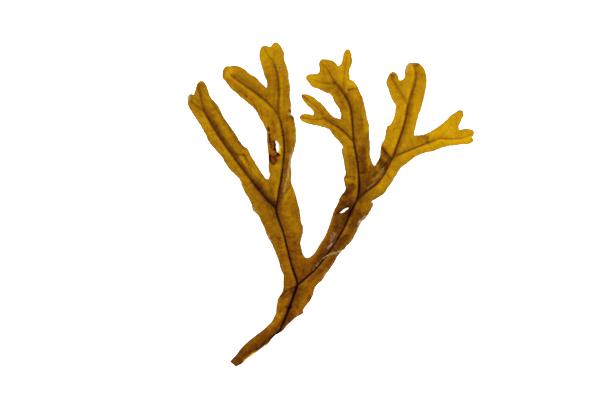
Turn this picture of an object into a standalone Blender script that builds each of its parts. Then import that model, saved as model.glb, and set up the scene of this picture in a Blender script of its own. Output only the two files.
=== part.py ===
"""Horned wrack: one forked sprig of flat brown seaweed, cut off at its stem and lying on a surface.

Metres, +Z up, with the tips towards +Y. The origin is under the middle of the sprig's box, where it rests.
"""

import math

import bpy
import numpy as np
from mathutils import Matrix, Vector, noise
from mathutils.geometry import delaunay_2d_cdt

# The sprig's real height in metres, and its height in the drawing below, which is in millimetres
HEIGHT = 0.140
DRAWN_HEIGHT = 139.8
UNIT = HEIGHT / DRAWN_HEIGHT

# Thickness of the blade and of the midrib at the cut stem, half the midrib's width, and how far it stands out
# below the blade, all in drawn millimetres
BLADE = 0.6
MIDRIB = 1.6
MIDRIB_HALF_WIDTH = 1.1
MIDRIB_BELOW = 0.35

# The turn of the fold's bend, in radians, over which the midrib fades away
MIDRIB_FADES = (0.4 * math.pi, 0.8 * math.pi)

# How far apart the points lie along the margins, round the tears, along the midribs and in the blade
MARGIN_STEP = 1.35
TEAR_STEP = 0.8
MIDRIB_STEP = 1.6
BLADE_STEP = 2.2

# How close a point may come to those placed before it, as a share of its step
MIDRIB_CLEARANCE = 0.4
FOOT_CLEARANCE = 0.5
BLADE_CLEARANCE = 0.66

# Samples in each span of a smooth curve, the step of a curve that is only looked up, and how close two points
# are when they count as one
SPAN_SAMPLES = 24
FINE_STEP = 0.25
SAME_POINT = 1e-4

# The right wing is folded under the stem along a crease. The ends of the fold's straight axis, the radius
# inside the fold, the rows of points across its bend, the length over which it opens, how high the folded
# wing lies, and the fold's edge as it shows from above: how far along the axis, and how far outside it
FOLD_START = (-11.8, -47.1)
FOLD_END = (-41.0, -70.1)
FOLD_RADIUS = 0.3
FOLD_ROWS = 5
FOLD_OPENS_OVER = 5.0
FOLD_LIFT = 0.4
FOLD_EDGE = [
    (0, 0), (2.5, -0.9), (6.5, -0.7), (11, -0.2), (14, -0.5), (17.5, -0.4), (21.5, 0.35), (25, 0.6),
    (29, 0.4), (35, 0.3), (38, 0)]

# How far before the fold the blade starts to rise to it, and how much wider than a row of points along the
# fold the folded wing is where that row begins
FOLD_APPROACH = 6.5
FOLD_ROW_INSET = 0.35

# The folded wing's free margin: how far along the axis, and how wide the wing is beyond the crease
FOLDED_MARGIN = [
    (0, 0), (2, 0.4), (5, 1.1), (9, 1.7), (12, 2.4), (15, 3.8), (17.6, 4.8), (22, 5.6), (27.5, 5.1),
    (32.5, 4.3), (37.6, 3.2)]

# The margin as drawn from above, clockwise from the cut. Each stretch is smooth and ends at a corner
STEM_AND_OUTER_LOBE = [
    (-43.5, -67.8), (-40.2, -64.2), (-38.5, -61.9), (-34.5, -58.2), (-27, -52.2), (-24.1, -48),
    (-22.9, -41), (-20.7, -37.5), (-20.5, -32.5), (-20.3, -31), (-21.7, -28), (-22.3, -25), (-25.7, -16.6),
    (-26.8, -15), (-28.8, -9.6), (-30.3, -7), (-31, -5), (-32.3, -4), (-34, -2), (-34.2, 0), (-38, 7),
    (-40.5, 12), (-43.3, 14.6), (-46, 18.4), (-46.8, 20), (-51.2, 25), (-53.2, 28), (-53.5, 29),
    (-56.8, 35), (-61.8, 43.5), (-61.5, 46.6), (-59.6, 47.5), (-58.9, 46.8)]
OUTER_TIP_TO_MIDDLE_TIP = [
    (-58.9, 46.8), (-56.9, 52.5), (-55.9, 53), (-54, 52), (-51.7, 46), (-48.5, 42.3), (-46.3, 37.6),
    (-41.7, 31.2), (-38, 25.3), (-36.5, 24), (-30, 13.5), (-27.6, 10.6), (-26.4, 11.4), (-26.8, 15.7),
    (-26.8, 19.5), (-27.5, 28), (-27.3, 29.3), (-29.3, 35.3), (-34, 42.2), (-35.3, 43), (-37, 44.9),
    (-39, 46), (-40, 47.2), (-43.6, 50.2), (-45.2, 52.6), (-46.7, 54.4), (-45.7, 59), (-43.2, 59.2),
    (-42.6, 59.5), (-39.5, 59.2), (-36.5, 57.5), (-34.5, 55.6), (-33, 55.2), (-28.2, 50.5), (-27.6, 50.8),
    (-27.5, 53), (-28.5, 55), (-30, 60.3), (-30.8, 63), (-30.1, 67.5), (-28.5, 68.2), (-25.8, 67.5)]
MIDDLE_TIP_TO_LOW_TIP = [
    (-25.8, 67.5), (-24.9, 69.3), (-23, 69.6), (-21.3, 67.6), (-20.3, 63), (-18.2, 56.5), (-18.1, 54),
    (-17.5, 50), (-17.7, 46), (-17.4, 44), (-17.3, 40.5), (-16.9, 39.8), (-17.2, 38.8), (-16.9, 38.1),
    (-15.9, 37.8), (-15.5, 35.5), (-15, 31.5), (-15.6, 24), (-17.2, 18.5), (-16.9, 13), (-17.3, 10.2),
    (-15, 3.7), (-13.1, -5.5), (-12.9, -7.5), (-12.2, -9.3), (-12.2, -13), (-13.1, -17), (-12.6, -19),
    (-12.5, -20.5), (-11, -23.1), (-9.3, -23), (-6.8, -20.8), (-5.2, -18), (-2.4, -13.6), (1.1, -3.4),
    (2.8, 0.2), (3.9, 3.1), (5.3, 5), (6.4, 6.1), (5.4, 11), (5.7, 12.1), (6.4, 12.9), (5.5, 19.4),
    (4.5, 22.7), (5.3, 24.5), (0.9, 29.7), (-0.6, 32.1), (-10.7, 34.8), (-13.2, 36.5), (-12.8, 38.6),
    (-11.5, 39), (-7.6, 38.3)]
LOW_TIP_TO_SMALL_LOBE = [
    (-7.6, 38.3), (-7.3, 39), (-7.4, 40), (-12.5, 45.8), (-12.2, 46.5), (-12, 47.3), (-7.8, 46.4),
    (-6, 44.6), (-3.7, 43), (1, 37.6), (3, 36.9), (3.9, 36.5), (4.4, 38.3), (2.9, 42.2), (1.8, 43.3),
    (-0.2, 47.6), (-3.8, 48.9), (-4.8, 49.5), (-7.2, 50.3), (-10.5, 54.7), (-9.8, 55.8), (-5.4, 56.1)]
SMALL_LOBE = [
    (-5.4, 56.1), (-4.9, 56.8), (-4.9, 62), (-0.2, 62.1), (1.9, 61), (2.9, 59.3)]
NARROW_LOBE = [
    (2.9, 59.3), (3.5, 59.4), (4.8, 61.4), (5.9, 66), (7.9, 66.8), (9.1, 60.1), (7.9, 58), (8.2, 54.8),
    (8.05, 53.8)]
SHOULDER_TO_CURLED_LOBE = [
    (8.05, 53.8), (9.6, 53.2), (11.7, 50.5), (12.3, 48.8), (13.9, 45.3), (15.8, 36.5), (16.6, 34),
    (16.4, 32), (16.9, 23.5), (16.7, 21.4), (18.7, 17), (21, 20.2), (21.6, 25.7), (23.1, 28), (24.3, 33.8),
    (25.2, 34), (27, 36.9), (27.9, 41.5), (28.1, 42), (25.4, 47), (24.7, 50.2), (24.1, 51.6), (24.9, 56),
    (26.8, 57.1), (28.6, 55.6), (29.4, 53.3), (30, 53)]
BROAD_LOBE_TO_FAR_LOBE = [
    (30, 53), (31.8, 54.2), (31.5, 57), (33.2, 60.8), (37.5, 60.8), (39.8, 58.8), (41.2, 53.8), (39, 41.5),
    (37.8, 38.5), (36.9, 34.5), (35.9, 29.6), (37, 29.7), (40.2, 29.9), (49.3, 35.7), (51.5, 38.2),
    (54, 39.7), (55.5, 40.7), (57, 40.2), (56.9, 37.5), (55.2, 34.2), (54.95, 32.4), (55.3, 32)]
FAR_UPPER_TOOTH = [
    (55.3, 32), (58.5, 32.5), (61.3, 31.85), (61.7, 30.7), (60.95, 29)]
FAR_LOWER_TOOTH_TO_CURLED_EDGE = [
    (60.95, 29), (61.7, 27.5), (60, 26.1), (57, 25.75), (46, 24), (43.2, 22.7), (41.7, 22.5), (35, 19.5),
    (34, 18.4), (30, 15.5), (28.2, 12.5), (27, 11.5), (25.2, 7.9), (24.3, 6.8), (22.8, 4.3), (21.5, 3.6),
    (17.2, 1)]
CURLED_EDGE_TO_FOLD = [
    (17.2, 1), (18.5, 0), (18.2, -0.6), (14.6, -6.6), (13.4, -7.2), (12.2, -9.7), (8.6, -16.5),
    (7.2, -17.6), (5.1, -20), (3.4, -21.6), (0.2, -27), (-2.8, -31), (-3.6, -32.6), (-6.2, -35),
    (-7.4, -37.5), (-8.1, -40.3), (-12.1, -46), FOLD_START]
MARGIN = [
    STEM_AND_OUTER_LOBE, OUTER_TIP_TO_MIDDLE_TIP, MIDDLE_TIP_TO_LOW_TIP, LOW_TIP_TO_SMALL_LOBE, SMALL_LOBE,
    NARROW_LOBE, SHOULDER_TO_CURLED_LOBE, BROAD_LOBE_TO_FAR_LOBE, FAR_UPPER_TOOTH,
    FAR_LOWER_TOOTH_TO_CURLED_EDGE, CURLED_EDGE_TO_FOLD]

# Two tears in the blade
OVAL_TEAR = [
    (-23.9, 27.3), (-22.9, 26.8), (-22.3, 25), (-22.2, 23.3), (-22.7, 22), (-23.4, 22.8), (-23.8, 24.5),
    (-24.2, 26.4), (-23.9, 27.3)]
SLIT_TEAR = [
    (3.6, -3.9), (4.9, -2.8), (6.4, -1.8), (7.9, -1.4), (7.4, -2.2), (5.9, -3.2), (4.6, -4.0), (3.6, -3.9)]

# The forks of the midrib
FIRST_FORK = (-14.5, -35)
LEFT_FORK = (-23.7, -2)
OUTER_FORK = (-54.5, 40)
MIDDLE_FORK = (-22.3, 37.5)
UPRIGHT_FORK = (-25, 62)
RIGHT_FORK = (11.3, 1.5)
INNER_FORK = (9.9, 26.7)
LOW_FORK = (-2.7, 36.8)
TWIN_FORK = (6.5, 46.3)
SMALL_FORK = (1.9, 51.9)
FAR_FORK = (26.9, 20.4)
CURLED_FORK = (33.3, 43)
LAST_FORK = (46.5, 28.4)

# The midribs: the points each runs through, and how strongly it stands out at its start and its end
MIDRIBS = [
    ([(-42.3, -69), (-21.9, -54.2), (-19, -47.5), FIRST_FORK], 1.0, 0.85),
    ([FIRST_FORK, (-14.6, -33.5), (-16.8, -26.7), (-20.6, -11.8), (-22.8, -5.8), LEFT_FORK], 0.85, 0.7),
    ([LEFT_FORK, (-25, -0.2), (-26.6, 1), (-47, 27.5), OUTER_FORK], 0.7, 0.4),
    ([OUTER_FORK, (-59, 43.2), (-60.3, 44.2)], 0.35, 0.1),
    ([OUTER_FORK, (-55, 42.5), (-56.9, 51)], 0.4, 0.1),
    ([LEFT_FORK, (-22.6, 3.5), (-20.1, 24), (-21.5, 35), MIDDLE_FORK], 0.7, 0.5),
    ([MIDDLE_FORK, (-23.4, 39.5), (-27.5, 44), (-42.7, 55.3)], 0.5, 0.15),
    ([MIDDLE_FORK, (-22.6, 40), (-22.4, 48), (-23.2, 56.5), UPRIGHT_FORK], 0.5, 0.3),
    ([UPRIGHT_FORK, (-26.3, 63.2), (-28.6, 66.8)], 0.3, 0.1),
    ([UPRIGHT_FORK, (-24.6, 62.5), (-23.7, 68)], 0.3, 0.1),
    ([FIRST_FORK, (-6, -27.2), (5, -11.3), (9.3, -1.6), RIGHT_FORK], 0.85, 0.7),
    ([RIGHT_FORK, (12.1, 6), (11.8, 15.5), INNER_FORK], 0.7, 0.6),
    ([INNER_FORK, (5, 31.8), LOW_FORK], 0.55, 0.4),
    ([LOW_FORK, (-7.5, 36.5), (-12.5, 37.3)], 0.35, 0.1),
    ([LOW_FORK, (-5.2, 41), (-11.5, 46.3)], 0.35, 0.1),
    ([INNER_FORK, (8.4, 42), TWIN_FORK], 0.6, 0.45),
    ([TWIN_FORK, (5.8, 48), (5.6, 54), (7.1, 64)], 0.4, 0.1),
    ([TWIN_FORK, (3.2, 50.7), SMALL_FORK], 0.4, 0.35),
    ([SMALL_FORK, (-4, 52.5), (-8, 54)], 0.3, 0.1),
    ([SMALL_FORK, (-2, 58.9), (-4.3, 61.3)], 0.3, 0.1),
    ([RIGHT_FORK, (14.2, 4.6), (20.5, 9.7), FAR_FORK], 0.7, 0.55),
    ([FAR_FORK, (31.8, 35), CURLED_FORK], 0.5, 0.35),
    ([CURLED_FORK, (26.8, 53.3), (26.2, 55)], 0.3, 0.1),
    ([CURLED_FORK, (36.6, 55), (36, 59.5)], 0.3, 0.1),
    ([FAR_FORK, (40.5, 26), LAST_FORK], 0.5, 0.35),
    ([LAST_FORK, (50, 32), (55.5, 39.5)], 0.2, 0.05),
    ([LAST_FORK, (55, 28.3), (60.5, 29.7)], 0.35, 0.1),
]

# Where the sprig arches up or curls off the surface: the place, how far it reaches and how high it goes
SWELLS = [
    ((-57.0, 50.0), 19.0, 7.0),
    ((-31.0, 6.0), 10.0, 1.0),
    ((-45.0, 58.0), 15.0, 3.2),
    ((-25.0, 69.0), 17.0, 4.2),
    ((-22.0, 22.0), 12.0, 1.6),
    ((-19.0, -17.0), 12.0, 1.8),
    ((-1.0, -19.0), 13.0, 2.2),
    ((12.0, 10.0), 9.0, 1.2),
    ((-13.0, 41.0), 13.0, 3.4),
    ((8.0, 66.0), 12.0, 3.6),
    ((-8.0, 58.0), 11.0, 2.4),
    ((25.0, 57.0), 14.0, 6.5),
    ((38.0, 61.0), 12.0, 3.0),
    ((61.0, 29.0), 14.0, 3.2),
    ((57.0, 42.0), 10.0, 2.6),
]

# The blade rests on the surface in three small flat places: the radius of each, and the radius beyond which
# the blade is clear of it again. The blade between them comes no nearer the surface than the least gap
REST_SPOTS = [(-13.0, -29.5), (-45.0, 26.0), (29.0, 25.0)]
REST_FLAT = 2.2
REST_REACH = 8.0
LEAST_GAP = 0.45

# How sharply a swell falls away from its middle
SWELL_FALL = 2.0

# The blade's usual height over the surface, how much its wings ruffle, the length of a ruffle and which wave
# of the noise it follows
CLEARANCE = 0.9
RUFFLE = 1.5
RUFFLE_LENGTH = 9.0
RUFFLE_WAVE = 3.7

# How far from the midrib a wing begins and how far out it ruffles fully, and how much higher it lies there
WING_BEGINS = 0.5
WING_FULL = 4.5
WING_LIFT = 0.25

# The middle colour of the whole sprig, in linear light, and how wet it looks
THALLUS_COLOUR = (0.319, 0.136, 0.002, 1.0)
THALLUS_ROUGHNESS = 0.42


def clear_scene():
    for old in list(bpy.data.objects):
        bpy.data.objects.remove(old, do_unlink=True)


def ramp(value, low, high):
    """A smooth rise from 0 at low to 1 at high."""
    t = np.clip((value - low) / (high - low), 0, 1)
    return t * t * (3 - 2 * t)


def smooth_line(points, step):
    """A smooth curve through the points, as points about a step apart."""
    knots = np.array(points, float)
    strides = np.diff(knots, axis=0)
    spans = np.linalg.norm(strides, axis=1)[:, None] ** 0.5
    slopes = strides / spans
    inner = (slopes[:-1] * spans[1:] + slopes[1:] * spans[:-1]) / (spans[:-1] + spans[1:])
    tangents = np.vstack([slopes[:1], inner, slopes[-1:]])
    t = np.linspace(0, 1, SPAN_SAMPLES)[:, None, None]
    curve = (1 + 2 * t) * (1 - t) ** 2 * knots[:-1] + t * t * (3 - 2 * t) * knots[1:]
    curve += t * (1 - t) ** 2 * spans * tangents[:-1] - t * t * (1 - t) * spans * tangents[1:]
    return even_steps(curve.transpose(1, 0, 2).reshape(-1, 2), step)


def even_steps(line, step):
    """Points about a step apart along a line of many points, with its two ends."""
    travelled = np.concatenate([[0], np.cumsum(np.linalg.norm(np.diff(line, axis=0), axis=1))])
    count = max(1, round(travelled[-1] / step))
    stops = np.linspace(0, travelled[-1], count + 1)
    return np.stack([np.interp(stops, travelled, line[:, axis]) for axis in (0, 1)], axis=1)


def fold_frame():
    """The fold's start, its direction along the stem and the direction out of the fold."""
    start = np.array(FOLD_START)
    along = np.array(FOLD_END) - start
    along /= np.linalg.norm(along)
    return start, along, np.array([-along[1], along[0]])


def crease(along):
    """How far the crease lies outside the fold's axis. The bend and its wall reach from there to the edge."""
    edge = smooth_line(FOLD_EDGE, FINE_STEP)
    outside = np.interp(along, edge[:, 0], edge[:, 1])
    return outside - (FOLD_RADIUS + BLADE) * ramp(along, 0, FOLD_OPENS_OVER)


def opened_out(along, beyond):
    """The flat place of a point beyond the crease, with the wing opened out."""
    start, forward, outward = fold_frame()
    along = np.asarray(along, float)
    distance = crease(along) + beyond
    return start + along[..., None] * forward + distance[..., None] * outward


def folded(flat):
    """Seen places and drops below the upper layer, for flat places with the wing opened out."""
    start, forward, outward = fold_frame()
    along = (flat - start) @ forward
    beyond = (flat - start) @ outward - crease(along)
    turn = np.clip(beyond / FOLD_RADIUS, 0, math.pi)
    moved = FOLD_RADIUS * np.sin(turn) - np.maximum(beyond - math.pi * FOLD_RADIUS, 0)
    drop = FOLD_RADIUS * (1 - np.cos(turn))
    is_folded = (along > 0) & (beyond > 0)
    shift = np.where(is_folded, moved - beyond, 0)
    return flat + shift[:, None] * outward, np.where(is_folded, drop, 0), np.where(is_folded, turn, 0)


def margin_loop():
    """The whole flat margin, with the folded wing opened out, closed by the cut across the stem."""
    stretches = [smooth_line(stretch, MARGIN_STEP) for stretch in MARGIN]
    folded_margin = smooth_line(FOLDED_MARGIN, MARGIN_STEP)
    stretches.append(opened_out(folded_margin[:, 0], folded_margin[:, 1]))
    cut_right = stretches[-1][-1]
    stretches.append(even_steps(np.array([cut_right, FOLD_END, MARGIN[0][0]]), MARGIN_STEP))
    return np.vstack([stretch[:-1] for stretch in stretches])


def fold_rows():
    """Lines along the fold, a few across its bend, from where the wing is wider than the line to the cut."""
    wing = smooth_line(FOLDED_MARGIN, FINE_STEP)
    widening = wing[: len(wing) // 2]
    rows = []
    for beyond in np.linspace(0, math.pi * FOLD_RADIUS, FOLD_ROWS):
        begins = np.interp(beyond + FOLD_ROW_INSET, widening[:, 1], widening[:, 0])
        along = np.arange(begins, FOLDED_MARGIN[-1][0] + MIDRIB_STEP, MIDRIB_STEP)
        rows.append(opened_out(along, beyond))
    return rows


def inside(points, loops):
    """Whether each point is within the outline and out of the tears."""
    result = np.zeros(len(points), bool)
    for loop in loops:
        ends = np.roll(loop, -1, axis=0)
        for (x0, y0), (x1, y1) in zip(loop, ends):
            if y0 == y1:
                continue
            level = (y0 > points[:, 1]) != (y1 > points[:, 1])
            result ^= level & (points[:, 0] < x0 + (points[:, 1] - y0) * (x1 - x0) / (y1 - y0))
    return result


def midrib_lines():
    return [(smooth_line(points, MIDRIB_STEP), start, end) for points, start, end in MIDRIBS]


def midrib_profile(points, lines):
    """How strongly the midrib stands out at each point, from 0 to 1, and the distance to the nearest one."""
    strength = np.zeros(len(points))
    nearest = np.full(len(points), np.inf)
    for line, start, end in lines:
        levels = np.linspace(start, end, len(line))
        for i in range(len(line) - 1):
            stride = line[i + 1] - line[i]
            part = np.clip((points - line[i]) @ stride / (stride @ stride), 0, 1)
            away = np.linalg.norm(points - line[i] - part[:, None] * stride, axis=1)
            level = levels[i] + part * (levels[i + 1] - levels[i])
            strength = np.maximum(strength, level * (1 - ramp(away, 0, MIDRIB_HALF_WIDTH)))
            nearest = np.minimum(nearest, away)
    return strength, nearest


def midrib_feet(lines):
    """Points beside the midribs, where their slopes meet the blade."""
    feet = []
    for line, _, _ in lines:
        middles = (line[1:] + line[:-1]) / 2
        strides = np.diff(line, axis=0)
        across = np.stack([-strides[:, 1], strides[:, 0]], axis=1)
        across /= np.linalg.norm(across, axis=1)[:, None]
        feet += [middles + MIDRIB_HALF_WIDTH * across, middles - MIDRIB_HALF_WIDTH * across]
    return np.vstack(feet)


def blade_grid(loop):
    """Points in a triangular pattern over the whole sprig."""
    low = loop.min(axis=0)
    high = loop.max(axis=0)
    rows = np.arange(low[1], high[1], BLADE_STEP * math.sqrt(0.75))
    columns = np.arange(low[0], high[0], BLADE_STEP)
    return np.array([(x + BLADE_STEP / 2 * (i % 2), y) for i, y in enumerate(rows) for x in columns])


def add_clear(points, candidates, clearance):
    """The points and each candidate in turn that stands clear of all before it."""
    for candidate in candidates:
        if np.sum((points - candidate) ** 2, axis=1).min() > clearance**2:
            points = np.vstack([points, candidate])
    return points


def flat_triangles(lines):
    """The sprig's flat outline, filled with triangles that follow its margins, midribs and fold."""
    loops = [margin_loop(), smooth_line(OVAL_TEAR, TEAR_STEP)[:-1], smooth_line(SLIT_TEAR, TEAR_STEP)[:-1]]
    rows = fold_rows()
    points = np.vstack(loops + rows)
    edges = []
    first = 0
    for chain, closed in [(loop, True) for loop in loops] + [(row, False) for row in rows]:
        indices = np.arange(first, first + len(chain))
        edges += list(zip(indices[:-1].tolist(), indices[1:].tolist()))
        if closed:
            edges.append((int(indices[-1]), int(indices[0])))
        first += len(chain)
    for candidates, clearance in (
        (np.vstack([line for line, _, _ in lines]), MIDRIB_CLEARANCE * MIDRIB_STEP),
        (midrib_feet(lines), FOOT_CLEARANCE * MIDRIB_STEP),
        (blade_grid(loops[0]), BLADE_CLEARANCE * BLADE_STEP),
    ):
        points = add_clear(points, candidates[inside(candidates, loops)], clearance)
    found = delaunay_2d_cdt([Vector(point) for point in points], edges, [], 0, SAME_POINT)
    places = np.array([vertex[:] for vertex in found[0]])
    triangles = np.array(found[2])
    triangles = triangles[inside(places[triangles].mean(axis=1), loops)]
    used, numbered = np.unique(triangles, return_inverse=True)
    return places[used], numbered.reshape(-1, 3)


def ruffle(places):
    """A slow wave over the blade, from -1 to 1."""
    waves = places / RUFFLE_LENGTH
    return np.array([noise.noise(Vector((x, y, RUFFLE_WAVE))) for x, y in waves])


def height(places, from_midrib):
    """How high the blade's underside lies over the surface, and how far it is from resting there, 0 to 1."""
    start, forward, _ = fold_frame()
    wing = ramp(from_midrib, WING_BEGINS, WING_FULL)
    high = CLEARANCE + wing * (WING_LIFT + RUFFLE * ruffle(places))
    for (x, y), reach, peak in SWELLS:
        away = np.hypot(places[:, 0] - x, places[:, 1] - y)
        high += peak * np.exp(-((away / reach) ** 2) * SWELL_FALL)
    resting = np.zeros(len(places))
    for x, y in REST_SPOTS:
        away = np.hypot(places[:, 0] - x, places[:, 1] - y)
        resting = np.maximum(resting, 1 - ramp(away, REST_FLAT, REST_REACH))
    high = np.maximum(high, LEAST_GAP) * (1 - resting)
    over_fold = ramp((places - start) @ forward, -FOLD_APPROACH, 0)
    upper_layer = BLADE + 2 * FOLD_RADIUS + FOLD_LIFT
    return high * (1 - over_fold) + upper_layer * over_fold, 1 - resting


def sheet_mesh(lines):
    """The sprig's underside as an open sheet, with its thickness over the blade's as a weight."""
    flat, triangles = flat_triangles(lines)
    strength, from_midrib = midrib_profile(flat, lines)
    places, drop, turn = folded(flat)
    strength *= 1 - ramp(turn, *MIDRIB_FADES)
    high, lifted = height(places, from_midrib)
    below = MIDRIB_BELOW * strength * lifted * (turn == 0)
    points = np.column_stack([places, high - drop - below]) * UNIT
    corners = flat[triangles]
    turned = np.cross(corners[:, 1] - corners[:, 0], corners[:, 2] - corners[:, 0]) < 0
    triangles[turned] = triangles[turned][:, ::-1]
    mesh = bpy.data.meshes.new("thallus")
    mesh.from_pydata(points.tolist(), [], triangles.tolist())
    return mesh, strength


def thallus_material():
    material = bpy.data.materials.new("wet_thallus")
    material.use_nodes = True
    shader = material.node_tree.nodes["Principled BSDF"]
    shader.inputs["Base Color"].default_value = THALLUS_COLOUR
    shader.inputs["Roughness"].default_value = THALLUS_ROUGHNESS
    shader.inputs["Metallic"].default_value = 0.0
    return material


def thicken(thallus, strength):
    """Gives the sheet its wall: the blade's thickness all over, and the midrib's where the weight is 1."""
    group = thallus.vertex_groups.new(name="midrib")
    for index, weight in enumerate(strength):
        if weight > 0:
            group.add([index], float(weight), "REPLACE")
    wall = thallus.modifiers.new("wall", "SOLIDIFY")
    wall.thickness = MIDRIB * UNIT
    wall.offset = 1.0
    wall.use_even_offset = True
    wall.use_quality_normals = True
    wall.vertex_group = group.name
    wall.thickness_vertex_group = BLADE / MIDRIB


def set_origin(thallus):
    """Moves the mesh so that the world origin is under the middle of the solid's box."""
    graph = bpy.context.evaluated_depsgraph_get()
    solid = thallus.evaluated_get(graph).to_mesh()
    points = np.array([vertex.co[:] for vertex in solid.vertices])
    low = points.min(axis=0)
    high = points.max(axis=0)
    middle = (low + high) / 2
    thallus.data.transform(Matrix.Translation((-middle[0], -middle[1], -low[2])))


def main():
    clear_scene()
    collection = bpy.data.collections.new("horned_wrack")
    bpy.context.scene.collection.children.link(collection)
    lines = midrib_lines()
    mesh, strength = sheet_mesh(lines)
    mesh.materials.append(thallus_material())
    thallus = bpy.data.objects.new("thallus", mesh)
    collection.objects.link(thallus)
    thicken(thallus, strength)
    set_origin(thallus)
    mesh.shade_smooth()


main()
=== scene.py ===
"""Horned wrack: the looks of one forked brown seaweed sprig, lying on a pale floor and seen from above.

Places on the sprig are in the millimetres of the drawing that its shape was made from.
"""

import math

import bmesh
import bpy
import numpy as np
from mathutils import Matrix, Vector, kdtree, noise


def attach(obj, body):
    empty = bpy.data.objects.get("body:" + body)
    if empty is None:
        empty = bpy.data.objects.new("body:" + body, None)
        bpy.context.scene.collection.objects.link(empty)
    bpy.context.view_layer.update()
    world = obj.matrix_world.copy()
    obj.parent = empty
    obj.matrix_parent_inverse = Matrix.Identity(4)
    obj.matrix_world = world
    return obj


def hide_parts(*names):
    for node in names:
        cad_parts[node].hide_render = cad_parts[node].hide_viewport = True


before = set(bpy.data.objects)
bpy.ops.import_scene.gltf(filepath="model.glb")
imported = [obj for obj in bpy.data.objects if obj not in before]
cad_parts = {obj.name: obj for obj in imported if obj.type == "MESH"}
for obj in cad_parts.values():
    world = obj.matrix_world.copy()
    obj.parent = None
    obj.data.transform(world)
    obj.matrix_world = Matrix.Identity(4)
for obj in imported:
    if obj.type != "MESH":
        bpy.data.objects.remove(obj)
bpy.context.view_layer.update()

# One millimetre in metres
MM = 0.001
# One drawn millimetre in metres, and where the drawing's zero lies in the frame
UNIT = 0.140 / 139.8
DRAWING_ZERO = (0.000188, 0.000351)

# The photo's width in pixels, the size of one pixel in metres, and the place in the frame under the photo's
# middle
PHOTO_WIDTH = 612
PIXEL = 0.000432
VIEW_MIDDLE = (-0.01055, 0.00148)
CAMERA_HEIGHT = 1.5
SENSOR_WIDTH = 36.0

# Points nearer than this, in metres, are one point of the copied solid
SAME_POINT = 1e-6
# Edges turned by more than this, in radians, are the rims of the blade's margins, and this is how sharp they
# stay when the mesh is rounded and split
RIM_ANGLE = 1.2
RIM_CREASE = 0.55
# Where along each rim edge the search for the nearest margin has a point
RIM_SHARES = (0, 0.2, 0.4, 0.6, 0.8)
# Two triangles are joined where they are bent by less than the first angle and their four corners are out of
# square by less than the second, in radians
PAIR_BEND = 0.5
PAIR_SKEW = 0.9
# How many times the mesh is rounded and split
FINE_LEVELS = 2

# The fold under the stem: its axis runs from the first point to the second, and the folded wing lies below
# this height, in metres
FOLD_START = (-11.8, -47.1)
FOLD_END = (-41.0, -70.1)
FOLDED_WING_TOP = 0.0013

# The forks of the midrib
FIRST_FORK = (-14.5, -35)
LEFT_FORK = (-23.7, -2)
OUTER_FORK = (-54.5, 40)
MIDDLE_FORK = (-22.3, 37.5)
UPRIGHT_FORK = (-25, 62)
RIGHT_FORK = (11.3, 1.5)
INNER_FORK = (9.9, 26.7)
LOW_FORK = (-2.7, 36.8)
TWIN_FORK = (6.5, 46.3)
SMALL_FORK = (1.9, 51.9)
FAR_FORK = (26.9, 20.4)
CURLED_FORK = (33.3, 43)
LAST_FORK = (46.5, 28.4)

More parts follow.
